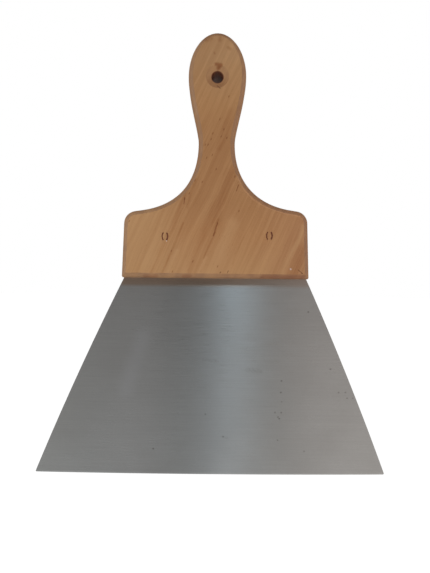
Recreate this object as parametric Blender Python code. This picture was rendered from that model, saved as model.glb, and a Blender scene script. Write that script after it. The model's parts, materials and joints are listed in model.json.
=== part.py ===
"""Flexible putty knife: one wide spring-steel sheet held in the sawn kerf of a flat beech handle.

It hangs upright by its hole, with the handle at the top and the edge of the blade at the bottom.
Lengths are in metres. X runs across the blade, Y through its thickness, Z up, and the front is -Y.
The origin is the centre of the hanging hole, halfway through the handle.
The blade is one sheet in reality. Its part inside the handle and its free part are two solids here,
because the free part turns on the line where it leaves the wood and bends.
"""

import math

import bmesh
import bpy
from mathutils import Vector

# Gap between pieces that touch.
GAP = 0.0003

# Handle. Heights are measured up from its lower end, half widths out from its centre line.
HANDLE_HEIGHT = 0.1732
HANDLE_THICKNESS = 0.015
EDGE_ROUND = 0.0033
BULB_HEIGHT = 0.1426
BULB_HALF = 0.0204
NECK_HEIGHT = 0.0951
NECK_HALF = 0.0128
SHOULDER_HEIGHT = 0.0482
SHOULDER_HALF = 0.052
SHOULDER_SLOPE = math.radians(7.7)
SHOULDER_RADIUS = 0.009
FOOT_HALF = 0.0662
FOOT_RADIUS = 0.0012
SIDE_LEAN = math.radians(1.87)

# How far each curve of the handle's side keeps the direction that it starts or ends with.
BULB_REACH = 0.0165
NECK_REACH_UP = 0.0105
NECK_REACH_DOWN = 0.0265
SHOULDER_REACH = 0.0249

# Hanging hole, countersunk from the front.
HOLE_HEIGHT = 0.1413
HOLE_RADIUS = 0.0041
COUNTERSINK_RADIUS = 0.0081
COUNTERSINK_DEPTH = 0.0014

# Saw cut for the blade, and the blade.
BLADE_THICKNESS = 0.0005
KERF_DEPTH = 0.0385
TANG_DEPTH = 0.0375
BLADE_LENGTH = 0.1394
BLADE_TOP_HALF = 0.0652
BLADE_EDGE_HALF = 0.125
BLADE_SIDE_BOW = 0.0015
BLADE_EDGE_CROWN = 0.00085

# Split rivets, driven from the back. The two legs of each are bent strips of the tube's wall.
RIVET_X = 0.0366
RIVET_HEIGHT = 0.0297
RIVET_HEAD_RADIUS = 0.0045
RIVET_HEAD_THICKNESS = 0.001
RIVET_SINK = 0.0001
LEG_RADIUS = 0.0032
LEG_THICKNESS = 0.0006
LEG_OUTER_X = 0.0025
LEG_HALF_SPAN = math.radians(58)
TANG_HOLE_RADIUS = 0.0034

FRONT = -HANDLE_THICKNESS / 2
BACK = HANDLE_THICKNESS / 2
FOOT_Z = -HOLE_HEIGHT
BEYOND = 0.002

CURVE_STEPS = 14
CORNER_STEPS = 6
FOOT_STEPS = 3
ROUND_STEPS = 5
CIRCLE_STEPS = 48
MERGE_DISTANCE = 1e-6
SHARP_ANGLE = math.radians(35)


def bezier(start, leave, arrive, end, steps):
    """Points from start to end, without the last one."""
    points = []
    for i in range(steps):
        t = i / steps
        u = 1 - t
        points.append(u**3 * start + 3 * u * u * t * leave + 3 * u * t * t * arrive + t**3 * end)
    return points


def fillet(before, corner, after, radius, steps):
    """The arc that rounds a corner between two straight lines, its centre, and its mitre.

    The mitre is the step from the centre that keeps 1 unit more distance from both lines.
    """
    to_before = (before - corner).normalized()
    to_after = (after - corner).normalized()
    half_angle = to_before.angle(to_after) / 2
    mitre = (to_before + to_after).normalized() / math.sin(half_angle)
    centre = corner + mitre * radius
    first = corner + to_before * (radius / math.tan(half_angle)) - centre
    last = corner + to_after * (radius / math.tan(half_angle)) - centre
    sweep = math.pi - 2 * half_angle
    arc = []
    for i in range(steps + 1):
        part = sweep * i / steps
        arc.append(centre + (first * math.sin(sweep - part) + last * math.sin(part)) / math.sin(sweep))
    return arc, centre, mitre


def handle_side():
    """Right side of the handle from the top down, as points in (x, height), with the foot's corner."""
    top = []
    for i in range(CURVE_STEPS):
        angle = math.pi / 2 * (1 - i / CURVE_STEPS)
        rise = (HANDLE_HEIGHT - BULB_HEIGHT) * math.sin(angle)
        top.append(Vector((BULB_HALF * math.cos(angle), BULB_HEIGHT + rise)))
    bulb = Vector((BULB_HALF, BULB_HEIGHT))
    neck = Vector((NECK_HALF, NECK_HEIGHT))
    shoulder = Vector((SHOULDER_HALF, SHOULDER_HEIGHT))
    outward = Vector((math.cos(SHOULDER_SLOPE), -math.sin(SHOULDER_SLOPE)))
    down = Vector((0, -1))
    grip = bezier(bulb, bulb + down * BULB_REACH, neck - down * NECK_REACH_UP, neck, CURVE_STEPS)
    flare = bezier(
        neck,
        neck + down * NECK_REACH_DOWN,
        shoulder - outward * SHOULDER_REACH,
        shoulder,
        CURVE_STEPS,
    )
    foot = Vector((FOOT_HALF, 0))
    up_side = Vector((-math.sin(SIDE_LEAN), math.cos(SIDE_LEAN)))
    reach = (foot - shoulder).cross(up_side) / outward.cross(up_side)
    corner = shoulder + outward * reach
    shoulder_arc, _, _ = fillet(shoulder, corner, foot, SHOULDER_RADIUS, CORNER_STEPS)
    foot_arc, foot_centre, foot_mitre = fillet(corner, foot, Vector((0, 0)), FOOT_RADIUS, FOOT_STEPS)
    return top + grip + flare + [shoulder] + shoulder_arc, foot_arc, foot_centre, foot_mitre


def normals_of(points):
    """Outward direction at each point of the side, which runs down on the right."""
    normals = []
    for i in range(len(points)):
        before = points[max(i - 1, 0)]
        after = points[min(i + 1, len(points) - 1)]
        along = (after - before).normalized()
        normals.append(Vector((-along.y, along.x)))
    normals[0] = Vector((0, 1))
    return normals


def handle_outline(inset):
    """The handle's outline, drawn in by an even distance, as (x, z) all the way round."""
    side, foot_arc, foot_centre, foot_mitre = handle_side()
    right = [p - n * inset for p, n in zip(side, normals_of(side))]
    for point in foot_arc:
        if inset < FOOT_RADIUS:
            right.append(foot_centre + (point - foot_centre) * (1 - inset / FOOT_RADIUS))
        else:
            right.append(foot_centre + foot_mitre * (inset - FOOT_RADIUS))
    left = [Vector((-p.x, p.y)) for p in reversed(right[1:])]
    return [(p.x, p.y + FOOT_Z) for p in right + left]


def material(name, colour, roughness, metallic):
    made = bpy.data.materials.new(name)
    made.use_nodes = True
    shader = made.node_tree.nodes["Principled BSDF"]
    shader.inputs["Base Color"].default_value = (*colour, 1)
    shader.inputs["Roughness"].default_value = roughness
    shader.inputs["Metallic"].default_value = metallic
    return made


def new_object(name, mesh_builder, made_material=None, location=(0, 0, 0)):
    """An object from a bmesh whose points are in world space, with its origin at location."""
    bmesh.ops.remove_doubles(mesh_builder, verts=mesh_builder.verts, dist=MERGE_DISTANCE)
    bmesh.ops.recalc_face_normals(mesh_builder, faces=mesh_builder.faces)
    if mesh_builder.calc_volume(signed=True) < 0:
        bmesh.ops.reverse_faces(mesh_builder, faces=mesh_builder.faces)
    bmesh.ops.translate(mesh_builder, verts=mesh_builder.verts, vec=-Vector(location))
    mesh = bpy.data.meshes.new(name)
    mesh_builder.to_mesh(mesh)
    mesh_builder.free()
    mesh.shade_smooth()
    mesh.set_sharp_from_angle(angle=SHARP_ANGLE)
    made = bpy.data.objects.new(name, mesh)
    made.location = location
    bpy.context.scene.collection.objects.link(made)
    if made_material:
        mesh.materials.append(made_material)
    else:
        made.hide_render = True
        made.display_type = "WIRE"
    return made


def loft(rings):
    """A closed solid through rings of (x, y, z) points that all hold the same number of points."""
    built = bmesh.new()
    loops = [[built.verts.new(p) for p in ring] for ring in rings]
    for near, far in zip(loops, loops[1:]):
        for i in range(len(near)):
            j = (i + 1) % len(near)
            built.faces.new((near[i], near[j], far[j], far[i]))
    built.faces.new(loops[0])
    built.faces.new(loops[-1])
    return built


def slab(outline, y_low, y_high):
    """A flat outline of (x, z) points given a thickness along Y."""
    return loft([[(x, y, z) for x, z in outline] for y in (y_low, y_high)])


def turned(profile, x, z):
    """A solid turned about a line along Y, through (y, radius) pairs."""
    rings = []
    for y, radius in profile:
        ring = []
        for i in range(CIRCLE_STEPS):
            angle = 2 * math.pi * i / CIRCLE_STEPS
            ring.append((x + radius * math.cos(angle), y, z + radius * math.sin(angle)))
        rings.append(ring)
    return loft(rings)


def leg_section(x, z, side, clearance):
    """Section of a rivet's leg: a strip of a ring, hollow side towards the rivet's centre."""
    centre_x = x + side * (LEG_OUTER_X - LEG_RADIUS)
    half_span = LEG_HALF_SPAN + clearance / LEG_RADIUS
    angles = [half_span * (2 * i / CORNER_STEPS - 1) for i in range(CORNER_STEPS + 1)]
    outer = LEG_RADIUS + clearance
    inner = LEG_RADIUS - LEG_THICKNESS - clearance
    ring = [(outer, a) for a in angles] + [(inner, a) for a in reversed(angles)]
    return [(centre_x + side * r * math.cos(a), z + r * math.sin(a)) for r, a in ring]


def combine(target, other, operation):
    step = target.modifiers.new(operation.title() + " " + other.name, "BOOLEAN")
    step.operation = operation
    step.solver = "EXACT"
    step.object = other


def make_handle(wood):
    rings = []
    for i in range(ROUND_STEPS + 1):
        angle = math.pi / 2 * (1 - i / ROUND_STEPS)
        y = FRONT + EDGE_ROUND * (1 - math.sin(angle))
        rings.append([(x, y, z) for x, z in handle_outline(EDGE_ROUND * (1 - math.cos(angle)))])
    rings += [[(x, -y, z) for x, y, z in ring] for ring in reversed(rings)]
    handle = new_object("handle", loft(rings), wood)

    half_kerf = BLADE_THICKNESS / 2 + GAP
    half_cut = FOOT_HALF + BEYOND
    cut = [
        (-half_cut, FOOT_Z - BEYOND),
        (half_cut, FOOT_Z - BEYOND),
        (half_cut, FOOT_Z + KERF_DEPTH),
        (-half_cut, FOOT_Z + KERF_DEPTH),
    ]
    combine(handle, new_object("kerf_cut", slab(cut, -half_kerf, half_kerf)), "DIFFERENCE")

    spread = (COUNTERSINK_RADIUS - HOLE_RADIUS) / COUNTERSINK_DEPTH
    hole = [
        (FRONT - BEYOND, COUNTERSINK_RADIUS + BEYOND * spread),
        (FRONT + COUNTERSINK_DEPTH, HOLE_RADIUS),
        (BACK + BEYOND, HOLE_RADIUS),
    ]
    combine(handle, new_object("hole_cut", turned(hole, 0, 0)), "DIFFERENCE")
    return handle


def make_rivet(name, x, handle, steel):
    z = FOOT_Z + RIVET_HEIGHT
    head_back = BACK - RIVET_SINK
    head_front = head_back - RIVET_HEAD_THICKNESS
    head = [(head_front, RIVET_HEAD_RADIUS), (head_back, RIVET_HEAD_RADIUS)]
    rivet = new_object(name, turned(head, x, z), steel)

    recess_radius = RIVET_HEAD_RADIUS + GAP
    recess = [(head_front - GAP, recess_radius), (BACK + BEYOND, recess_radius)]
    combine(handle, new_object(name + "_recess_cut", turned(recess, x, z)), "DIFFERENCE")
    for side, word in ((-1, "left"), (1, "right")):
        leg_y = (FRONT + RIVET_SINK, head_back - RIVET_HEAD_THICKNESS / 2)
        leg = slab(leg_section(x, z, side, 0), *leg_y)
        combine(rivet, new_object(f"{name}_{word}_leg", leg), "UNION")
        slot_y = (FRONT - BEYOND, head_back)
        slot = slab(leg_section(x, z, side, GAP), *slot_y)
        combine(handle, new_object(f"{name}_{word}_slot_cut", slot), "DIFFERENCE")
    return rivet


def blade_half(depth):
    """Half width of the blade at a depth below the handle: an even taper, bowed out a little."""
    t = depth / BLADE_LENGTH
    straight = BLADE_TOP_HALF + (BLADE_EDGE_HALF - BLADE_TOP_HALF) * t
    return straight + BLADE_SIDE_BOW * 4 * t * (1 - t)


def make_blade(steel):
    depths = [GAP / 2 + (BLADE_LENGTH - GAP / 2) * i / CURVE_STEPS for i in range(CURVE_STEPS + 1)]
    right = [(blade_half(d), FOOT_Z - d) for d in depths]
    edge = []
    for i in range(1, CURVE_STEPS):
        across = 1 - 2 * i / CURVE_STEPS
        drop = BLADE_EDGE_CROWN * (1 - across * across)
        edge.append((BLADE_EDGE_HALF * across, FOOT_Z - BLADE_LENGTH - drop))
    left = [(-x, z) for x, z in reversed(right)]
    sheet = slab(right + edge + left, -BLADE_THICKNESS / 2, BLADE_THICKNESS / 2)
    return new_object("blade", sheet, steel, (0, 0, FOOT_Z))


def make_tang(steel):
    taper = (BLADE_EDGE_HALF - BLADE_TOP_HALF) / BLADE_LENGTH
    heights = (GAP / 2, TANG_DEPTH)
    right = [(BLADE_TOP_HALF - taper * h, FOOT_Z + h) for h in heights]
    left = [(-x, z) for x, z in reversed(right)]
    sheet = slab(right + left, -BLADE_THICKNESS / 2, BLADE_THICKNESS / 2)
    tang = new_object("blade_tang", sheet, steel)
    for side, word in ((-1, "left"), (1, "right")):
        hole = [(-BEYOND, TANG_HOLE_RADIUS), (BEYOND, TANG_HOLE_RADIUS)]
        cutter = turned(hole, side * RIVET_X, FOOT_Z + RIVET_HEIGHT)
        combine(tang, new_object(f"tang_{word}_hole_cut", cutter), "DIFFERENCE")
    return tang


def main():
    for old in list(bpy.data.objects):
        bpy.data.objects.remove(old)
    wood = material("beech", (0.42, 0.26, 0.14), 0.55, 0.0)
    blade_steel = material("spring steel", (0.35, 0.35, 0.34), 0.35, 1.0)
    tang_steel = material("spring steel in the handle", (0.35, 0.35, 0.34), 0.4, 1.0)
    left_steel = material("left rivet steel", (0.45, 0.44, 0.42), 0.4, 1.0)
    right_steel = material("right rivet steel", (0.45, 0.44, 0.42), 0.4, 1.0)

    handle = make_handle(wood)
    pieces = [
        handle,
        make_blade(blade_steel),
        make_tang(tang_steel),
        make_rivet("rivet_left", -RIVET_X, handle, left_steel),
        make_rivet("rivet_right", RIVET_X, handle, right_steel),
    ]
    knife = bpy.data.objects.new("putty_knife", None)
    bpy.context.scene.collection.objects.link(knife)
    for piece in pieces:
        piece.parent = knife


main()
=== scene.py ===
import json
import math

import bmesh
import bpy
from mathutils import Matrix, Vector


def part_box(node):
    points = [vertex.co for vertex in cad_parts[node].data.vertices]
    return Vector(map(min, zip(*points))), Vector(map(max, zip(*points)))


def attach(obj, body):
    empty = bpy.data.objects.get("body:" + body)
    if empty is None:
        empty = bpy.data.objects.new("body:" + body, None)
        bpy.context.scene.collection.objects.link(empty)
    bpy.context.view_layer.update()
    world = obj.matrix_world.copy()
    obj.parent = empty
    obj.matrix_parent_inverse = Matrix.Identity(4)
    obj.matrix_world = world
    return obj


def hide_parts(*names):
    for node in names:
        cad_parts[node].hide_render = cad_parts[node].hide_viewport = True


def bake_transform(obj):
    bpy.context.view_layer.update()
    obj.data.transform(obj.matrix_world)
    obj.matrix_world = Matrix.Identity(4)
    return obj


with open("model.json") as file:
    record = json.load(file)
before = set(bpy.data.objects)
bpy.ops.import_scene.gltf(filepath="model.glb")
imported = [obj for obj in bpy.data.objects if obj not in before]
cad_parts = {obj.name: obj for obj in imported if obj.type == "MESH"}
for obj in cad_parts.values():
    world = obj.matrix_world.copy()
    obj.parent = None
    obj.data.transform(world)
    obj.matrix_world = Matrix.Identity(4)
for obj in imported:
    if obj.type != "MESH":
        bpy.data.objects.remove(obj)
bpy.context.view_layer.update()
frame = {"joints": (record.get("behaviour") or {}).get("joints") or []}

# The looks of a flexible putty knife: a brushed spring-steel sheet in a worn beech handle.
# Metres, in the frame of the CAD: X across the blade, Z up, front at -Y, origin in the hanging hole.

MM = 0.001

# ---------------------------------------------------------------------------------------------
# Places and sizes, from the frame wherever it holds them
# ---------------------------------------------------------------------------------------------

HANDLE_LOW, HANDLE_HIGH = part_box("handle")
BLADE_LOW, BLADE_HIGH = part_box("blade")
TANG_TOP_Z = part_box("blade_tang")[1][2]
RIVET_BOXES = {name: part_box(name) for name in ("rivet_left", "rivet_right")}
MOUTH_Z = frame["joints"][0]["pos_m"][2]

FRONT = HANDLE_LOW[1]
BACK = HANDLE_HIGH[1]
FOOT_Z = HANDLE_LOW[2]
HANDLE_HEIGHT = HANDLE_HIGH[2] - FOOT_Z
BLADE_THICKNESS = BLADE_HIGH[1] - BLADE_LOW[1]
EDGE_Z = BLADE_LOW[2]

# Outline of the handle: heights above its foot, half widths from its centre line.
# Sanding left its shoulders a little different: -1 is the left one, 1 the right one.
BULB_HEIGHT = 142.6 * MM
BULB_HALF = 20.4 * MM
NECK_HEIGHT = 95.1 * MM
NECK_HALF = 12.8 * MM
SHOULDER_HEIGHT = {-1: 47.8 * MM, 1: 48.9 * MM}
SHOULDER_HALF = 52 * MM
SHOULDER_SLOPE = {-1: math.radians(8.6), 1: math.radians(9)}
SHOULDER_RADIUS = 9 * MM
FOOT_HALF = HANDLE_HIGH[0]
FOOT_RADIUS = 1.2 * MM
SIDE_LEAN = math.radians(1.87)
BULB_REACH = 16.5 * MM
NECK_REACH_UP = 10.5 * MM
NECK_REACH_DOWN = {-1: 17.5 * MM, 1: 25.3 * MM}
SHOULDER_REACH = {-1: 33.4 * MM, 1: 24.9 * MM}

# The routed edge meets the face at a slight angle and runs smoothly into the side.
EDGE_INSET = 3.3 * MM
EDGE_BREAK = math.radians(15)
EDGE_ARC = EDGE_INSET / (1 - math.sin(EDGE_BREAK))

HOLE_RADIUS = 4.1 * MM
COUNTERSINK_RADIUS = 8.1 * MM
COUNTERSINK_DEPTH = 1.4 * MM
BORE_Y = FRONT + COUNTERSINK_DEPTH
BORE_FALL = 0.17  # the bore falls this much per unit towards the back, so no light comes through
KERF_HALF = BLADE_THICKNESS / 2 + 0.05 * MM
KERF_DEPTH = 38.5 * MM

# Rivets: two curved legs through the wood, whose ends lie just below the front face.
LEG_RADIUS = 5.2 * MM
LEG_THICKNESS = {-1: 0.6 * MM, 1: 0.85 * MM}
LEG_OUTER_X = 2.25 * MM
LEG_HALF_SPAN = math.radians(32)
LEG_SINK = 0.15 * MM
LEG_GAP = 0.1 * MM
# How far the legs came out from their heads' centres, as (to the right, upwards).
LEG_DRIFT = {"rivet_left": (1.1 * MM, -0.8 * MM), "rivet_right": (1.0 * MM, 0.5 * MM)}
BURR_RIVET = "rivet_left"
BURR_PLACE = (1.1 * MM, -3.15 * MM)  # a burr below the right leg, from the legs' centre; its bright colour is a painted glint
BURR_RADIUS = 0.4 * MM
HEAD_THICKNESS = 1 * MM
HEAD_GAP = 0.15 * MM
RECESS_DEPTH = 1.2 * MM

# Blade: an even taper with slightly bowed sides and a slightly crowned edge.
BLADE_DEPTH = 139.4 * MM
BLADE_TOP_HALF = 65.2 * MM
BLADE_EDGE_HALF = BLADE_HIGH[0]
BLADE_SIDE_BOW = 1.5 * MM
BLADE_EDGE_CROWN = 0.85 * MM
BLADE_DRIFT = -2.1 * MM  # the sheet's centre line has strayed this far to the side at the edge
BLADE_CORNER_RADIUS = 0.9 * MM
GROUND_HEIGHT = 0.9 * MM
EDGE_THICKNESS = 0.3 * MM
BLADE_COLUMNS = 84
BLADE_ROWS = 120


# ---------------------------------------------------------------------------------------------
# Shader graphs
# ---------------------------------------------------------------------------------------------


def srgb(red, green, blue):
    """A colour given as 0-255 display values, as the linear values that shaders take."""
    parts = []
    for value in (red, green, blue):
        part = value / 255
        parts.append(part / 12.92 if part <= 0.04045 else ((part + 0.055) / 1.055) ** 2.4)
    return (*parts, 1)


class Graph:
    """A node graph of a new material or world, with short calls that add a node and return its output."""

    def __init__(self, owner):
        owner.use_nodes = True
        self.owner = owner
        self.tree = owner.node_tree
        self.shader = self.tree.nodes.get("Principled BSDF")

    def put(self, socket, value):
        if isinstance(value, bpy.types.NodeSocket):
            self.tree.links.new(value, socket)
        else:
            socket.default_value = value

    def node(self, kind, inputs=None, **settings):
        made = self.tree.nodes.new("ShaderNode" + kind)
        for key, value in settings.items():
            setattr(made, key, value)
        for key, value in (inputs or {}).items():
            self.put(made.inputs[key], value)
        return made

    def math(self, operation, *values):
        inputs = dict(enumerate(values))
        return self.node("Math", inputs, operation=operation).outputs[0]

    def vector(self, x, y, z):
        return self.node("CombineXYZ", {"X": x, "Y": y, "Z": z}).outputs[0]

    def split(self, vector):
        return self.node("SeparateXYZ", {0: vector}).outputs

    def noise(self, vector, scale=1.0, detail=2.0, roughness=0.5, distortion=0.0):
        inputs = {"Vector": vector, "Scale": scale, "Detail": detail}
        inputs["Roughness"] = roughness
        inputs["Distortion"] = distortion
        return self.node("TexNoise", inputs).outputs["Fac"]

    def remap(self, value, low, high, to_low=0.0, to_high=1.0, smooth=True):
        """Value from low..high to to_low..to_high, held at the ends."""
        inputs = {0: value, 1: low, 2: high, 3: to_low, 4: to_high}
        kind = "SMOOTHSTEP" if smooth else "LINEAR"
        return self.node("MapRange", inputs, interpolation_type=kind).outputs[0]

    def mix(self, factor, first, second, blend="MIX"):
        inputs = {0: factor, 6: first, 7: second}
        return self.node("Mix", inputs, data_type="RGBA", blend_type=blend).outputs[2]

    def ramp(self, value, stops, kind="LINEAR"):
        made = self.node("ValToRGB", {0: value})
        made.color_ramp.interpolation = kind
        elements = made.color_ramp.elements
        while len(elements) < len(stops):
            elements.new(0.5)
        for element, (place, colour) in zip(elements, stops):
            element.position = place
            element.color = colour
        return made.outputs[0]

    def times(self, first, second):
        return self.math("MULTIPLY", first, second)

    def add(self, *values):
        total = values[0]
        for value in values[1:]:
            total = self.math("ADD", total, value)
        return total

    def darker(self, factor, colour, tint):
        """Colour multiplied by a tint where factor is 1, unchanged where it is 0."""
        return self.mix(factor, colour, (*tint, 1), blend="MULTIPLY")

    def near(self, place, marks):
        """1 on the middle line of the nearest mark and 0 beyond its half width, fading evenly.

        Place is a vector (across, 0, up) in millimetres. Each mark is (points, half width).
        """
        nearest = 2.0
        for points, half_width in marks:
            for start, end in zip(points, points[1:]):
                start, end = Vector((start[0], 0, start[1])), Vector((end[0], 0, end[1]))
                run = end - start
                offset = self.node("VectorMath", {0: place, 1: start}, operation="SUBTRACT").outputs[0]
                share = {0: offset, 1: run / run.length_squared}
                share = self.node("VectorMath", share, operation="DOT_PRODUCT").outputs["Value"]
                share = self.node("Clamp", {0: share}).outputs[0]
                foot = {0: run, "Scale": share}
                foot = self.node("VectorMath", foot, operation="SCALE").outputs[0]
                away = {0: offset, 1: foot}
                away = self.node("VectorMath", away, operation="DISTANCE").outputs["Value"]
                nearest = self.math("MINIMUM", nearest, self.math("DIVIDE", away, half_width))
        return self.remap(nearest, 0.0, 1.0, 1.0, 0.0)

    def spots(self, place, centres):
        """1 at each centre and 0 one unit away from all of them."""
        nearest = 2.0
        for centre in centres:
            away = self.node("VectorMath", {0: place, 1: centre}, operation="DISTANCE").outputs["Value"]
            nearest = self.math("MINIMUM", nearest, away)
        return self.remap(nearest, 0.0, 1.0, 1.0, 0.0)

    def set(self, **values):
        """Sets inputs of the shader. An underscore stands for a space in an input's name."""
        for key, value in values.items():
            self.put(self.shader.inputs[key.replace("_", " ")], value)


# ---------------------------------------------------------------------------------------------
# Wood
# ---------------------------------------------------------------------------------------------

GRAIN_LEAN = math.radians(24)

# Marks in the wood, in millimetres from the hanging hole: (points (x, z), half width).
DARK_BANDS = [
    ([(-43, -137), (-38, -123), (-31, -108), (-27, -97), (-21, -84)], 3.6),
    ([(-19, -136), (-16, -128), (-10, -115), (-5, -100), (0, -84)], 3.2),
    ([(-1, -101), (4, -86), (9, -68)], 8),
    ([(60, -120), (56, -138)], 5),
    ([(9, -24), (6, -36), (1, -50)], 4),
]
DARK_LINES = [
    ([(-37, -138), (-31, -123), (-26, -111), (-23, -103)], 1.3),
    ([(-8, -127), (-2, -113), (0, -107), (2, -100)], 1.5),
    ([(12, -131), (17, -118), (20, -111), (24, -104), (29, -92)], 1.1),
    ([(-20, -92), (-18, -82), (-14, -72)], 1.6),
]
DARK_FIBRES = [
    ([(-1.6, -111.5), (0.2, -106), (1.2, -102.5)], 0.75),
    ([(13.9, -80), (15.7, -75.8)], 0.6),
    ([(-22.4, -89.5), (-22, -85)], 0.55),
]
PALE_BANDS = [
    ([(62, -104), (54, -120), (49, -132), (46, -139)], 3.2),
    ([(-3, -138), (5, -121), (12, -103)], 7.5),
    ([(-34, -138), (-27, -122)], 2.4),
    ([(-11, -138), (-6, -127)], 2.2),
]
FLECKS = [
    (-3, -40), (3, -42), (5, -37), (7, -43), (-8, -48), (-6, -48), (-4, -44), (-3, -55), (-7, -57),
    (0, -65), (13, -70), (-15, -73), (-10, -74), (-19, -82), (-22, -86), (-31, -122.5), (-16, -129.6),
    (-60.5, -102), (-30, -137), (16, -94), (1.5, -133), (8, -14), (2, -30),
]
FLECK_HALF_WIDTH = 0.65
FLECK_HALF_LENGTH = 1.5
STAINED_SPOTS = [
    ([(7.2, 20.3), (8.6, 19.2)], 1.8),
    ([(-2.4, 16.6), (-2.2, 15.8)], 1.2),
    ([(-8, 25), (-5, 26.6)], 2.6),
    ([(-1, 31), (1.4, 29.5), (1.2, 25.5)], 2.4),
    ([(-9, 27), (-4, 30), (2, 31), (9, 28.5)], 3.5),
]
WEAR_ABOVE_HOLE = [
    ([(-1.3, 8.6), (2.3, 8.2)], 2.0),
    ([(0.9, 8), (1.1, 6.2)], 2.4),
    ([(2.5, 7.6), (1.6, 6.2)], 1.7),
]
PITS = [
    ([(3.3, -137.4), (3.7, -137)], 0.75),
    ([(8.4, -137.4), (9.2, -136)], 0.5),
    ([(60.5, -137), (60.9, -137.3)], 0.6),
]
SCRATCHES = [([(58, -134.8), (60.8, -137.2)], 0.5), ([(0.3, -6.4), (1.9, -8.4)], 0.7)]
PAINT = [([(52.6, -134.2), (52.9, -134.5)], 0.85)]
CREASE_HIGHLIGHT = [
    ([(15, -70), (19.4, -79.4), (26, -86), (33.6, -90.6), (40.9, -93.3), (48.8, -95.6), (58.5, -97.3)], 0.65),
]
FOOT_PATCHES = [
    ([(-48, -140.5), (-41, -140.5)], 2.6),
    ([(-22, -140), (-17, -140)], 2.4),
    ([(33, -140), (62, -140)], 2.6),
]


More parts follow.
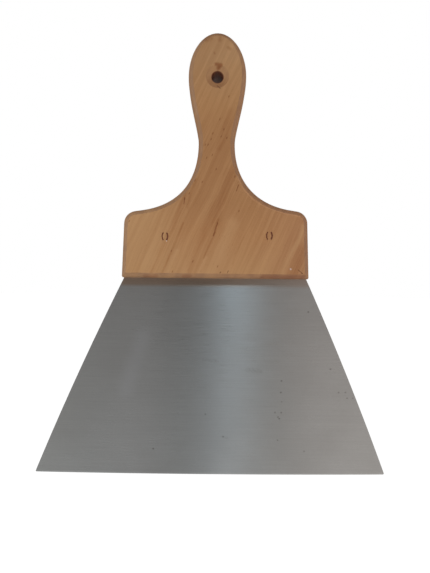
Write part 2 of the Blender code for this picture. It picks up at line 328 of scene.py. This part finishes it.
def make_beech():
    g = Graph(bpy.data.materials.new("worn beech"))
    coords = g.node("TexCoord").outputs
    position = coords["Object"]
    x, y, z = g.split(position)
    facing = g.math("ABSOLUTE", g.split(coords["Normal"])[1])

    warp = g.noise(position, scale=14, detail=2)
    warp = g.times(g.math("SUBTRACT", warp, 0.5), 7 * MM)
    cos, sin = math.cos(GRAIN_LEAN), math.sin(GRAIN_LEAN)
    across = g.math("SUBTRACT", g.times(x, cos), g.times(z, sin))
    across = g.add(across, warp)
    along = g.add(g.times(x, sin), g.times(z, cos))

    def streaks(width, length, detail=2.0):
        """Noise drawn out along the grain. Through the thickness it changes as fast as across."""
        place = (g.math("DIVIDE", across, width), g.math("DIVIDE", y, width), g.math("DIVIDE", along, length))
        return g.noise(g.vector(*place), detail=detail)

    figure = streaks(13 * MM, 150 * MM, detail=3)
    rings = streaks(2.2 * MM, 80 * MM, detail=2)
    fibres = streaks(0.6 * MM, 14 * MM, detail=2)
    pores = streaks(0.5 * MM, 2.6 * MM, detail=1)

    # Marks follow the face loosely: the grain's own waver moves them, and depth shifts them.
    waver = g.math("SUBTRACT", g.noise(position, scale=240, detail=2), 0.5)
    wide_waver = g.math("SUBTRACT", g.noise(position, scale=60, detail=2), 0.5)
    shift = g.times(g.math("SUBTRACT", y, FRONT), 0.5)
    x_mm = g.math("DIVIDE", g.add(x, shift), MM)
    z_mm = g.math("DIVIDE", z, MM)
    place = g.vector(g.add(x_mm, g.times(waver, 1.2)), 0.0, z_mm)
    loose = g.vector(g.add(x_mm, g.times(wide_waver, 5)), 0.0, z_mm)
    on_front = g.remap(y, FRONT + 2.5 * MM, FRONT + 4.5 * MM, 1.0, 0.0)

    # The ground colour changes from the foot to the neck and the grip.
    places = [
        (-141, srgb(193, 146, 101)),
        (-112, srgb(186, 136, 91)),
        (-86, srgb(177, 128, 84)),
        (-50, srgb(173, 124, 80)),
        (-22, srgb(177, 129, 83)),
        (12, srgb(178, 135, 92)),
    ]
    spread = places[-1][0] - places[0][0]
    up = g.remap(z_mm, places[0][0], places[-1][0], smooth=False)
    colour = g.ramp(up, [((at - places[0][0]) / spread, tone) for at, tone in places])
    low = g.remap(z, -95 * MM, -60 * MM, 1.0, 0.0)
    paler = g.times(g.remap(x, -12 * MM, -52 * MM), low)
    colour = g.mix(g.times(paler, 0.85), colour, srgb(198, 153, 107))
    redder = g.times(g.remap(x, 22 * MM, 62 * MM), low)
    colour = g.mix(g.times(redder, 0.8), colour, srgb(178, 126, 86))

    figured = g.times(figure, 0.34)
    tone = g.add(figured, g.times(rings, 0.46), g.times(fibres, 0.2))
    colour = g.darker(g.remap(tone, 0.52, 0.36, 0.0, 0.45, smooth=False), colour, (0.81, 0.71, 0.61))
    colour = g.mix(g.remap(tone, 0.5, 0.68, 0.0, 0.42, smooth=False), colour, srgb(206, 158, 110))

    broken = g.remap(g.add(rings, fibres), 0.75, 1.25, 1.0, 0.35)
    bands = g.times(g.near(loose, DARK_BANDS), broken)
    colour = g.darker(g.times(bands, 0.6), colour, (0.83, 0.72, 0.63))
    pale = g.times(g.near(loose, PALE_BANDS), 0.55)
    colour = g.mix(pale, colour, srgb(201, 155, 110))
    lines = g.times(g.near(place, DARK_LINES), broken)
    colour = g.darker(g.times(lines, 0.6), colour, (0.76, 0.63, 0.52))
    colour = g.darker(g.near(place, DARK_FIBRES), colour, (0.58, 0.42, 0.34))

    fleck_axes = Vector((cos, 0, -sin)) / FLECK_HALF_WIDTH, Vector((sin, 0, cos)) / FLECK_HALF_LENGTH
    parts = [g.node("VectorMath", {0: place, 1: axis}, operation="DOT_PRODUCT") for axis in fleck_axes]
    fleck_place = g.vector(parts[0].outputs["Value"], 0.0, parts[1].outputs["Value"])
    centres = [Vector((fleck[0], 0, fleck[1])) for fleck in FLECKS]
    centres = [Vector((centre.dot(fleck_axes[0]), 0, centre.dot(fleck_axes[1]))) for centre in centres]
    colour = g.darker(g.spots(fleck_place, centres), colour, (0.62, 0.48, 0.38))
    colour = g.darker(g.remap(pores, 0.64, 0.76, 0.0, 0.45), colour, (0.72, 0.60, 0.50))

    # Painted sheen and shade on the routed edge: a greyer, darker colour, greyer on the left as painted sheen
    # and redder and darker on the right as painted shade. The edge is also blotched along the foot.
    fallen = g.times(g.math("MAXIMUM", g.math("SUBTRACT", y, BORE_Y), 0.0), BORE_FALL)
    radius = {0: g.vector(x, 0.0, g.add(z, fallen))}
    radius = g.node("VectorMath", radius, operation="LENGTH").outputs["Value"]
    off_hole = g.remap(radius, COUNTERSINK_RADIUS, COUNTERSINK_RADIUS + 2 * MM, 0.35, 1.0)
    edge = g.times(g.remap(facing, 0.972, 0.984, 1.0, 0.0), off_hole)
    edge_tone = g.noise(position, scale=160, detail=3)
    edge_sheen_shade = g.mix(g.remap(x, -25 * MM, 35 * MM), srgb(157, 119, 89), srgb(150, 108, 79))
    colour = g.mix(g.times(edge, g.remap(edge_tone, 0.3, 0.7, 0.5, 0.85)), colour, edge_sheen_shade)
    patches = g.times(g.near(loose, FOOT_PATCHES), edge)
    colour = g.darker(g.times(patches, 0.8), colour, (0.78, 0.64, 0.60))

    # Dirt, wear and paint on the front only, and a painted highlight along the right flare's crease.
    def on_face(marks, strength):
        return g.times(g.near(place, marks), g.times(on_front, strength))

    colour = g.darker(on_face(STAINED_SPOTS, 0.6), colour, (0.72, 0.60, 0.50))
    colour = g.darker(on_face(WEAR_ABOVE_HOLE, 1.0), colour, (0.64, 0.45, 0.33))
    # Painted highlight: a pale line along the crease of the right flare, where the finish is also worn.
    colour = g.mix(on_face(CREASE_HIGHLIGHT, 0.33), colour, srgb(214, 160, 120))
    colour = g.darker(on_face(PITS, 0.9), colour, (0.36, 0.28, 0.26))
    colour = g.darker(on_face(SCRATCHES, 0.85), colour, (0.46, 0.36, 0.32))
    colour = g.mix(on_face(PAINT, 1.0), colour, srgb(222, 200, 192))

    # Dirt from the nail in the countersink, most of it low down, and painted shade all through the bore.
    in_ring = g.remap(radius, COUNTERSINK_RADIUS + 0.2 * MM, COUNTERSINK_RADIUS - 0.3 * MM)
    in_ring = g.times(in_ring, on_front)
    ring_dirt = g.times(in_ring, g.remap(z, 4 * MM, -6 * MM, 0.25, 0.9))
    colour = g.darker(ring_dirt, colour, (0.80, 0.72, 0.66))
    # Painted shade: the bore is darkened all through.
    bore_shade = g.remap(radius, HOLE_RADIUS + 0.1 * MM, HOLE_RADIUS + 0.5 * MM, 1.0, 0.0)
    colour = g.darker(bore_shade, colour, (0.36, 0.21, 0.20))

    roughness = g.remap(g.noise(position, scale=90, detail=4), 0.3, 0.7, 0.46, 0.62)
    bump = {"Height": g.add(fibres, pores), "Distance": 0.04 * MM, "Strength": 0.5}
    bump = g.node("Bump", bump).outputs[0]
    g.set(Base_Color=colour, Roughness=roughness, Specular_IOR_Level=0.35, Normal=bump)
    return g.owner


# ---------------------------------------------------------------------------------------------
# Steel
# ---------------------------------------------------------------------------------------------

# Marks on the blade, in millimetres: (across, height above the edge).
SPECKS = [
    (48.3, 67.3), (48, 59), (48.6, 52.4), (44, 44.7), (48.4, 44.6), (46, 41.4), (47, 40.2), (7, 27),
    (46, 25), (65, 17), (-43, 18), (-6, 43), (83.5, 76.2), (89.4, 59.4), (94.5, 59.6), (95.6, 55.4),
    (99.7, 55.4), (67, 117),
]
SMUDGES = [([(24, 75), (33, 74)], 3), ([(-8, 82), (2, 81)], 2), ([(6, 27), (10, 26)], 1.2)]
# Painted reflection: a pale patch down the left side of the blade.
REFLECTION_PATCHES = [([(-51, 98), (-56, 82), (-63, 60)], 10)]


def make_blade_steel():
    """Steel brushed across the blade. The sheet's UV map holds height in U and width in V."""
    g = Graph(bpy.data.materials.new("brushed blade steel"))
    uv = g.node("UVMap", uv_map="sheet").outputs[0]
    height, width, _ = g.split(uv)

    def lines(thin, length, detail=2.0, seed=0.0):
        place = (g.math("DIVIDE", width, length), g.math("DIVIDE", height, thin), seed)
        return g.noise(g.vector(*place), detail=detail)

    fine = lines(0.3 * MM, 16 * MM)
    coarse = lines(1.1 * MM, 60 * MM, detail=3, seed=3.1)
    grit = lines(0.5 * MM, 0.9 * MM, detail=2, seed=5.3)
    cloud = lines(40 * MM, 40 * MM, detail=3, seed=7.7)

    tone = g.times(g.add(coarse, grit), 0.3)
    tone = g.add(g.times(fine, 0.4), tone)
    colour = g.ramp(tone, [(0.32, (0.485, 0.482, 0.475, 1)), (0.68, (0.575, 0.572, 0.563, 1))])
    colour = g.mix(g.remap(cloud, 0.35, 0.7, 0.0, 0.18), colour, (0.42, 0.40, 0.38, 1))

    waver = g.math("SUBTRACT", g.noise(uv, scale=900, detail=2), 0.5)
    place_x = g.add(g.math("DIVIDE", width, MM), g.times(waver, 1.6))
    place = g.vector(place_x, 0.0, g.math("DIVIDE", height, MM))
    patchy = g.remap(g.noise(uv, scale=700, detail=2), 0.35, 0.65)
    # Painted reflection: a pale patch down the left side of the blade, mixed into the steel's colour.
    colour = g.mix(g.times(g.near(place, REFLECTION_PATCHES), 0.28), colour, (0.66, 0.66, 0.68, 1))
    smudges = g.times(g.near(place, SMUDGES), g.remap(patchy, 0.0, 1.0, 0.15, 0.65))
    colour = g.darker(smudges, colour, (0.80, 0.78, 0.77))
    centres = [Vector((across, 0, up)) for across, up in SPECKS]
    specks = g.times(g.spots(place, centres), g.remap(patchy, 0.0, 1.0, 0.35, 1.0))
    colour = g.darker(specks, colour, (0.42, 0.40, 0.38))

    # Painted reflection of the wood and painted shade below the handle: a brownish band where the steel
    # leaves the wood, weaker on the right.
    wood_reflection_shade = g.remap(height, BLADE_DEPTH - 6.2 * MM, BLADE_DEPTH - 3.2 * MM)
    wood_reflection_shade = g.times(wood_reflection_shade, g.remap(width, -10 * MM, 45 * MM, 1.0, 0.55))
    colour = g.darker(wood_reflection_shade, colour, (0.88, 0.69, 0.56))

    roughness = g.remap(g.add(fine, g.times(cloud, 0.6)), 0.5, 1.1, 0.27, 0.36)
    bump = {"Height": g.add(fine, coarse), "Distance": 0.003 * MM, "Strength": 0.6}
    bump = g.node("Bump", bump).outputs[0]
    tangent = g.node("Tangent", direction_type="UV_MAP", uv_map="sheet").outputs[0]
    g.set(Base_Color=colour, Metallic=1.0, Roughness=roughness, Anisotropic=1.0)
    g.set(Normal=bump, Tangent=tangent)
    return g.owner


def make_rivet_steel():
    """Rusted where it came through the wood, with a painted glint on the burr below it."""
    g = Graph(bpy.data.materials.new("rusted rivet steel"))
    position = g.node("TexCoord").outputs["Object"]
    x, y, z = g.split(position)
    rust = g.noise(position, scale=700, detail=4)
    ends = g.ramp(rust, [(0.35, srgb(108, 52, 30)), (0.7, srgb(130, 72, 46))])
    dull = [(0.3, srgb(104, 82, 68)), (0.55, srgb(150, 138, 126)), (0.75, srgb(172, 162, 150))]
    heads = g.ramp(rust, dull)
    in_front = g.remap(y, 0.0, -1 * MM)
    in_radii = g.vector(g.math("DIVIDE", x, BURR_RADIUS), 0.0, g.math("DIVIDE", z, BURR_RADIUS))
    burr_x, burr_z = burr_centre()
    away = {0: in_radii, 1: Vector((burr_x, 0, burr_z)) / BURR_RADIUS}
    away = g.node("VectorMath", away, operation="DISTANCE").outputs["Value"]
    # Painted glint: the burr's spot is painted near white.
    burr_glint = g.times(in_front, g.remap(away, 1.6, 1.1))
    colour = g.mix(burr_glint, g.mix(in_front, heads, ends), srgb(226, 204, 196))
    bare_head = g.times(g.remap(rust, 0.4, 0.6), g.math("SUBTRACT", 1.0, in_front))
    metal = g.math("MAXIMUM", burr_glint, bare_head)
    roughness = g.remap(rust, 0.3, 0.8, 0.7, 0.45)
    g.set(Base_Color=colour, Metallic=g.times(metal, 0.6), Roughness=roughness)
    return g.owner


# ---------------------------------------------------------------------------------------------
# Meshes
# ---------------------------------------------------------------------------------------------


def smooth(mesh, sharp):
    """Smooth shading, broken where faces meet at more than this many degrees."""
    mesh.shade_smooth()
    mesh.set_sharp_from_angle(angle=math.radians(sharp))


def finish_mesh(name, built, material=None, sharp=30):
    bmesh.ops.remove_doubles(built, verts=built.verts, dist=1e-6)
    bmesh.ops.recalc_face_normals(built, faces=built.faces)
    if built.calc_volume(signed=True) < 0:
        bmesh.ops.reverse_faces(built, faces=built.faces)
    mesh = bpy.data.meshes.new(name)
    built.to_mesh(mesh)
    built.free()
    smooth(mesh, sharp)
    made = bpy.data.objects.new(name, mesh)
    bpy.context.scene.collection.objects.link(made)
    if material:
        mesh.materials.append(material)
    return made


def loft(rings):
    """A closed solid through rings of points that all hold the same number of points."""
    built = bmesh.new()
    loops = [[built.verts.new(point) for point in ring] for ring in rings]
    for near, far in zip(loops, loops[1:]):
        for i in range(len(near)):
            j = (i + 1) % len(near)
            built.faces.new((near[i], near[j], far[j], far[i]))
    built.faces.new(loops[0])
    built.faces.new(loops[-1])
    return built


def slab(outline, y_low, y_high):
    return loft([[(x, y, z) for x, z in outline] for y in (y_low, y_high)])


def turned(profile, x, z, steps=96):
    rings = []
    for y, radius in profile:
        ring = []
        for i in range(steps):
            angle = 2 * math.pi * i / steps
            ring.append((x + radius * math.cos(angle), y, z + radius * math.sin(angle)))
        rings.append(ring)
    return loft(rings)


def apply_booleans(target, cutters, operation, sharp):
    """Combines target with each cutter in turn, then removes the cutters."""
    for cutter in cutters:
        step = target.modifiers.new("combine", "BOOLEAN")
        step.operation = operation
        step.solver = "EXACT"
        step.object = cutter
    graph = bpy.context.evaluated_depsgraph_get()
    mesh = bpy.data.meshes.new_from_object(target.evaluated_get(graph))
    target.modifiers.clear()
    target.data = mesh
    for cutter in cutters:
        bpy.data.objects.remove(cutter)
    smooth(mesh, sharp)


def bezier(start, leave, arrive, end, steps):
    points = []
    for i in range(steps):
        t = i / steps
        u = 1 - t
        points.append(u**3 * start + 3 * u * u * t * leave + 3 * u * t * t * arrive + t**3 * end)
    return points


def fillet(before, corner, after, radius, steps):
    """The arc that rounds a corner between two straight lines, its centre, and its mitre."""
    to_before = (before - corner).normalized()
    to_after = (after - corner).normalized()
    half_angle = to_before.angle(to_after) / 2
    mitre = (to_before + to_after).normalized() / math.sin(half_angle)
    centre = corner + mitre * radius
    first = corner + to_before * (radius / math.tan(half_angle)) - centre
    last = corner + to_after * (radius / math.tan(half_angle)) - centre
    sweep = math.pi - 2 * half_angle
    arc = []
    for i in range(steps + 1):
        part = sweep * i / steps
        arc.append(centre + (first * math.sin(sweep - part) + last * math.sin(part)) / math.sin(sweep))
    return arc, centre, mitre


CURVE_STEPS = 40
CORNER_STEPS = 16
FOOT_STEPS = 8
EDGE_STEPS = 10
HANDLE_SHARP = 12
RIVET_SHARP = 40


def handle_side(side):
    """One side of the handle from the top down, as (distance out, height), with the foot's corner."""
    top = []
    for i in range(CURVE_STEPS):
        angle = math.pi / 2 * (1 - i / CURVE_STEPS)
        rise = (HANDLE_HEIGHT - BULB_HEIGHT) * math.sin(angle)
        top.append(Vector((BULB_HALF * math.cos(angle), BULB_HEIGHT + rise)))
    bulb = Vector((BULB_HALF, BULB_HEIGHT))
    neck = Vector((NECK_HALF, NECK_HEIGHT))
    shoulder = Vector((SHOULDER_HALF, SHOULDER_HEIGHT[side]))
    outward = Vector((math.cos(SHOULDER_SLOPE[side]), -math.sin(SHOULDER_SLOPE[side])))
    down = Vector((0, -1))
    grip = bezier(bulb, bulb + down * BULB_REACH, neck - down * NECK_REACH_UP, neck, CURVE_STEPS)
    flare_in = neck + down * NECK_REACH_DOWN[side]
    flare = bezier(neck, flare_in, shoulder - outward * SHOULDER_REACH[side], shoulder, CURVE_STEPS)
    foot = Vector((FOOT_HALF, 0))
    up_side = Vector((-math.sin(SIDE_LEAN), math.cos(SIDE_LEAN)))
    reach = (foot - shoulder).cross(up_side) / outward.cross(up_side)
    corner = shoulder + outward * reach
    shoulder_arc, _, _ = fillet(shoulder, corner, foot, SHOULDER_RADIUS, CORNER_STEPS)
    foot_fillet = fillet(corner, foot, Vector((0, 0)), FOOT_RADIUS, FOOT_STEPS)
    return top + grip + flare + [shoulder] + shoulder_arc, *foot_fillet


def drawn_in(side, inset):
    """One side of the handle, drawn in by an even distance."""
    points, foot_arc, foot_centre, foot_mitre = handle_side(side)
    moved = []
    for i, point in enumerate(points):
        before = points[max(i - 1, 0)]
        after = points[min(i + 1, len(points) - 1)]
        tangent = (after - before).normalized()
        normal = Vector((-tangent.y, tangent.x)) if i else Vector((0, 1))
        moved.append(point - normal * inset)
    for point in foot_arc:
        if inset < FOOT_RADIUS:
            moved.append(foot_centre + (point - foot_centre) * (1 - inset / FOOT_RADIUS))
        else:
            moved.append(foot_centre + foot_mitre * (inset - FOOT_RADIUS))
    return moved


def handle_outline(inset):
    """The handle's outline, drawn in by an even distance, as (x, z) all the way round."""
    right = drawn_in(1, inset)
    left = [Vector((-p.x, p.y)) for p in reversed(drawn_in(-1, inset)[1:])]
    return [(p.x, p.y + FOOT_Z) for p in right + left]


def leg_section(x, z, side, grow=0.0):
    """Section of a rivet's leg, a strip of a ring with its hollow side to the legs' centre."""
    steps = 16
    centre_x = x + side * (LEG_OUTER_X - LEG_RADIUS)
    half_span = LEG_HALF_SPAN + grow / LEG_RADIUS
    angles = [half_span * (2 * i / steps - 1) for i in range(steps + 1)]
    outer = LEG_RADIUS + grow
    inner = LEG_RADIUS - LEG_THICKNESS[side] - grow
    ring = [(outer, a) for a in angles] + [(inner, a) for a in reversed(angles)]
    return [(centre_x + side * r * math.cos(a), z + r * math.sin(a)) for r, a in ring]


def rivet_place(name):
    """Centre (x and z), radius and back of a rivet's head, from the rivet's CAD box."""
    low, high = RIVET_BOXES[name]
    return (low[0] + high[0]) / 2, (low[2] + high[2]) / 2, (high[0] - low[0]) / 2, high[1]


def leg_place(name):
    """Centre between a rivet's legs where they come out at the front."""
    x, z, _, _ = rivet_place(name)
    drift_x, drift_z = LEG_DRIFT[name]
    return x + drift_x, z + drift_z


def burr_centre():
    x, z = leg_place(BURR_RIVET)
    return x + BURR_PLACE[0], z + BURR_PLACE[1]


def make_handle(wood):
    rings = []
    for i in range(EDGE_STEPS + 1):
        angle = EDGE_BREAK + (math.pi / 2 - EDGE_BREAK) * i / EDGE_STEPS
        y = FRONT + EDGE_ARC * (math.cos(EDGE_BREAK) - math.cos(angle))
        ring = handle_outline(EDGE_ARC * (1 - math.sin(angle)))
        rings.append([(x, y, z) for x, z in ring])
    rings += [[(x, -y, z) for x, y, z in ring] for ring in reversed(rings)]
    handle = finish_mesh("beech_handle", loft(rings), wood, HANDLE_SHARP)

    beyond = 2 * MM
    half_cut = FOOT_HALF + beyond
    bottom = FOOT_Z - beyond
    top = FOOT_Z + KERF_DEPTH
    cut = [(-half_cut, bottom), (half_cut, bottom), (half_cut, top), (-half_cut, top)]
    cutters = [finish_mesh("kerf", slab(cut, -KERF_HALF, KERF_HALF))]

    spread = (COUNTERSINK_RADIUS - HOLE_RADIUS) / COUNTERSINK_DEPTH
    hole = [
        (FRONT - beyond, COUNTERSINK_RADIUS + beyond * spread),
        (BORE_Y, HOLE_RADIUS),
        (BACK + beyond, HOLE_RADIUS),
    ]
    hole = turned(hole, 0, 0)
    for vertex in hole.verts:
        vertex.co.z -= BORE_FALL * max(vertex.co.y - BORE_Y, 0)
    cutters.append(finish_mesh("hole", hole))

    for name in RIVET_BOXES:
        x, z, radius, head_back = rivet_place(name)
        recess = [(head_back - RECESS_DEPTH, radius + HEAD_GAP), (BACK + beyond, radius + HEAD_GAP)]
        cutters.append(finish_mesh("recess", turned(recess, x, z)))
        for side in (-1, 1):
            section = leg_section(*leg_place(name), side, LEG_GAP)
            slot = slab(section, FRONT - beyond, head_back - HEAD_THICKNESS)
            cutters.append(finish_mesh("slot", slot))
    apply_booleans(handle, cutters, "DIFFERENCE", HANDLE_SHARP)
    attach(handle, "handle")
    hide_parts("handle")


def make_rivet(name, steel):
    x, z, radius, head_back = rivet_place(name)
    head = [
        (head_back - HEAD_THICKNESS, radius),
        (head_back - 0.35 * MM, radius),
        (head_back - 0.12 * MM, radius * 0.93),
        (head_back - 0.02 * MM, radius * 0.6),
        (head_back, radius * 0.2),
    ]
    rivet = finish_mesh("split_" + name, turned(head, x, z), steel, RIVET_SHARP)
    legs = []
    for side in (-1, 1):
        section = leg_section(*leg_place(name), side)
        leg = slab(section, FRONT + LEG_SINK, head_back - HEAD_THICKNESS / 2)
        legs.append(finish_mesh("leg", leg))
    if name == BURR_RIVET:
        burr = [(FRONT - 0.03 * MM, BURR_RADIUS * 0.5), (FRONT, BURR_RADIUS), (FRONT + MM, BURR_RADIUS)]
        legs.append(finish_mesh("burr", turned(burr, *burr_centre(), steps=16)))
    apply_booleans(rivet, legs, "UNION", RIVET_SHARP)
    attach(rivet, "handle")
    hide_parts(name)


def blade_half(depth):
    """Half width of the sheet at a depth below the handle. Above it, the taper goes on straight."""
    t = depth / BLADE_DEPTH
    straight = BLADE_TOP_HALF + (BLADE_EDGE_HALF - BLADE_TOP_HALF) * t
    return straight + max(BLADE_SIDE_BOW * 4 * t * (1 - t), 0)


def make_blade(steel):
    """One sheet from the top of the tang to the edge, as a fine grid of quads."""
    top = MOUTH_Z - TANG_TOP_Z
    depths = [top + (BLADE_DEPTH - top) * i / BLADE_ROWS for i in range(BLADE_ROWS)]
    depths += [BLADE_DEPTH - GROUND_HEIGHT, BLADE_DEPTH - GROUND_HEIGHT / 2, BLADE_DEPTH]
    depths = sorted(set(depths))
    built = bmesh.new()
    uv_layer = built.loops.layers.uv.new("sheet")
    grids = []
    for face in (-1, 1):
        grid = []
        for depth in depths:
            row = []
            half = blade_half(depth)
            corner = max(depth - (BLADE_DEPTH - BLADE_CORNER_RADIUS), 0)
            half -= BLADE_CORNER_RADIUS - math.sqrt(max(BLADE_CORNER_RADIUS**2 - corner**2, 0))
            ground = min(max((depth - (BLADE_DEPTH - GROUND_HEIGHT)) / GROUND_HEIGHT, 0), 1)
            thickness = BLADE_THICKNESS + (EDGE_THICKNESS - BLADE_THICKNESS) * ground
            share = max(depth, 0) / BLADE_DEPTH
            for i in range(BLADE_COLUMNS + 1):
                across = 2 * i / BLADE_COLUMNS - 1
                drop = BLADE_EDGE_CROWN * (1 - across * across) * share
                x = half * across + BLADE_DRIFT * share
                row.append(built.verts.new((x, face * thickness / 2, MOUTH_Z - depth - drop)))
            grid.append(row)
        grids.append(grid)

    def quad(a, b, c, d):
        made = built.faces.new((a, b, c, d))
        for loop in made.loops:
            loop[uv_layer].uv = (loop.vert.co.z - EDGE_Z, loop.vert.co.x)

    front, back = grids
    for r in range(len(depths) - 1):
        for i in range(BLADE_COLUMNS):
            quad(front[r][i], front[r + 1][i], front[r + 1][i + 1], front[r][i + 1])
            quad(back[r][i], back[r][i + 1], back[r + 1][i + 1], back[r + 1][i])
        quad(front[r][0], back[r][0], back[r + 1][0], front[r + 1][0])
        quad(front[r][-1], front[r + 1][-1], back[r + 1][-1], back[r][-1])
    for i in range(BLADE_COLUMNS):
        quad(front[0][i], front[0][i + 1], back[0][i + 1], back[0][i])
        quad(front[-1][i], back[-1][i], back[-1][i + 1], front[-1][i + 1])
    blade = finish_mesh("spring_steel_sheet", built, steel)
    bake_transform(blade)
    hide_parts("blade", "blade_tang")


# ---------------------------------------------------------------------------------------------
# Camera, light and floor
# ---------------------------------------------------------------------------------------------

CAMERA_PLACE = Vector((-1.6, -309, -147.05)) * MM
CAMERA_ROLL = math.radians(0.64)
CAMERA_YAW = math.radians(0.28)
SENSOR = 36.0
LENS = 27.08
LIGHT_DISTANCE = 1.5
ROOM_HALF = 32
FLOOR_HALF = 6
FLOOR_DROP = 12 * MM


def make_camera():
    data = bpy.data.cameras.new("camera")
    data.sensor_width = SENSOR
    data.lens = LENS
    data.clip_start = 0.01
    camera = bpy.data.objects.new("camera", data)
    turn = Matrix.Rotation(-CAMERA_YAW, 4, "Z") @ Matrix.Rotation(math.pi / 2, 4, "X")
    turn = turn @ Matrix.Rotation(CAMERA_ROLL, 4, "Z")
    camera.matrix_world = Matrix.Translation(CAMERA_PLACE) @ turn
    bpy.context.scene.collection.objects.link(camera)
    bpy.context.scene.camera = camera


def make_area_light(name, azimuth, elevation, size, power, colour):
    """A soft rectangle that faces the knife. Azimuth 0 is straight in front, 90 to the right."""
    data = bpy.data.lights.new(name, "AREA")
    data.shape = "RECTANGLE"
    data.size, data.size_y = size
    data.energy = power
    data.color = colour
    light = bpy.data.objects.new(name, data)
    azimuth, elevation = math.radians(azimuth), math.radians(elevation)
    flat = math.cos(elevation)
    away = Vector((math.sin(azimuth) * flat, -math.cos(azimuth) * flat, math.sin(elevation)))
    light.location = Vector((0, 0, MOUTH_Z)) + away * LIGHT_DISTANCE
    light.rotation_euler = away.to_track_quat("Z", "Y").to_euler()
    light.visible_camera = False
    bpy.context.scene.collection.objects.link(light)


def make_lights():
    make_area_light("left", -60, 12, (1.1, 1.5), 11, (1.0, 0.985, 0.96))
    make_area_light("right", 62, 8, (1.1, 1.5), 7, (1.0, 0.97, 0.94))
    make_area_light("window", 5, 43, (0.13, 0.12), 1.65, (0.60, 0.83, 1.0))


def room_ramp(g, azimuth, stops):
    """Light of a room by azimuth in degrees, held beyond its first and last stop."""
    place = g.remap(azimuth, math.radians(-ROOM_HALF), math.radians(ROOM_HALF), smooth=False)
    stops = [((angle + ROOM_HALF) / (2 * ROOM_HALF), (*light, 1)) for angle, light in stops]
    return g.ramp(place, stops, "EASE")


def make_world():
    """White to the eye, and a dim room for the steel, with what lies ahead of it and below."""
    g = Graph(bpy.data.worlds.new("studio"))
    bpy.context.scene.world = g.owner
    direction = g.node("TexCoord").outputs["Generated"]
    x, y, z = g.split(direction)
    azimuth = g.math("ARCTAN2", x, g.times(y, -1))
    ahead = [
        (-24, (0.25, 0.235, 0.225)),
        (-14, (0.17, 0.158, 0.154)),
        (-9, (0.155, 0.145, 0.14)),
        (-5, (0.055, 0.05, 0.05)),
        (0, (0.03, 0.025, 0.023)),
        (4, (0.15, 0.125, 0.105)),
        (8, (0.155, 0.13, 0.113)),
        (13, (0.33, 0.29, 0.275)),
        (24, (0.41, 0.365, 0.34)),
    ]
    below = [
        (-24, (0.66, 0.69, 0.69)),
        (-16, (0.57, 0.59, 0.595)),
        (-10, (0.67, 0.68, 0.69)),
        (-5, (0.53, 0.55, 0.545)),
        (-1, (0.62, 0.64, 0.65)),
        (3, (0.92, 0.94, 0.95)),
        (7, (0.62, 0.61, 0.59)),
        (13, (0.80, 0.79, 0.77)),
        (24, (0.92, 0.90, 0.87)),
    ]
    low = g.remap(z, -0.08, -0.5)
    room = g.mix(low, room_ramp(g, azimuth, ahead), room_ramp(g, azimuth, below))
    room = g.mix(g.remap(z, 0.35, 0.7), room, (0.30, 0.29, 0.28, 1))
    seen = g.node("LightPath").outputs["Is Camera Ray"]
    colour = g.mix(seen, room, (1, 1, 1, 1))
    g.put(g.tree.nodes["Background"].inputs[0], colour)


def make_floor():
    # White by its own light: a floor brighter than white would swallow the thin blade's outline.
    g = Graph(bpy.data.materials.new("pale floor"))
    grain = g.noise(g.node("TexCoord").outputs["Object"], scale=40, detail=3)
    colour = g.ramp(grain, [(0.0, (0.05, 0.05, 0.05, 1)), (1.0, (0.08, 0.08, 0.08, 1))])
    g.set(Base_Color=colour, Roughness=0.9, Emission_Color=(1, 1, 1, 1), Emission_Strength=1.0)
    built = bmesh.new()
    corners = [(-1, -1), (1, -1), (1, 1), (-1, 1)]
    corners = [(x * FLOOR_HALF, y * FLOOR_HALF, EDGE_Z - FLOOR_DROP) for x, y in corners]
    built.faces.new([built.verts.new(corner) for corner in corners])
    mesh = bpy.data.meshes.new("floor")
    built.to_mesh(mesh)
    built.free()
    mesh.materials.append(g.owner)
    floor = bpy.data.objects.new("floor", mesh)
    floor.visible_diffuse = False
    floor.visible_glossy = False
    bpy.context.scene.collection.objects.link(floor)


make_camera()
make_lights()
make_world()
make_floor()
make_handle(make_beech())
make_blade(make_blade_steel())
rivet_steel = make_rivet_steel()
for rivet_name in RIVET_BOXES:
    make_rivet(rivet_name, rivet_steel)
bpy.context.scene.view_settings.view_transform = "Standard"
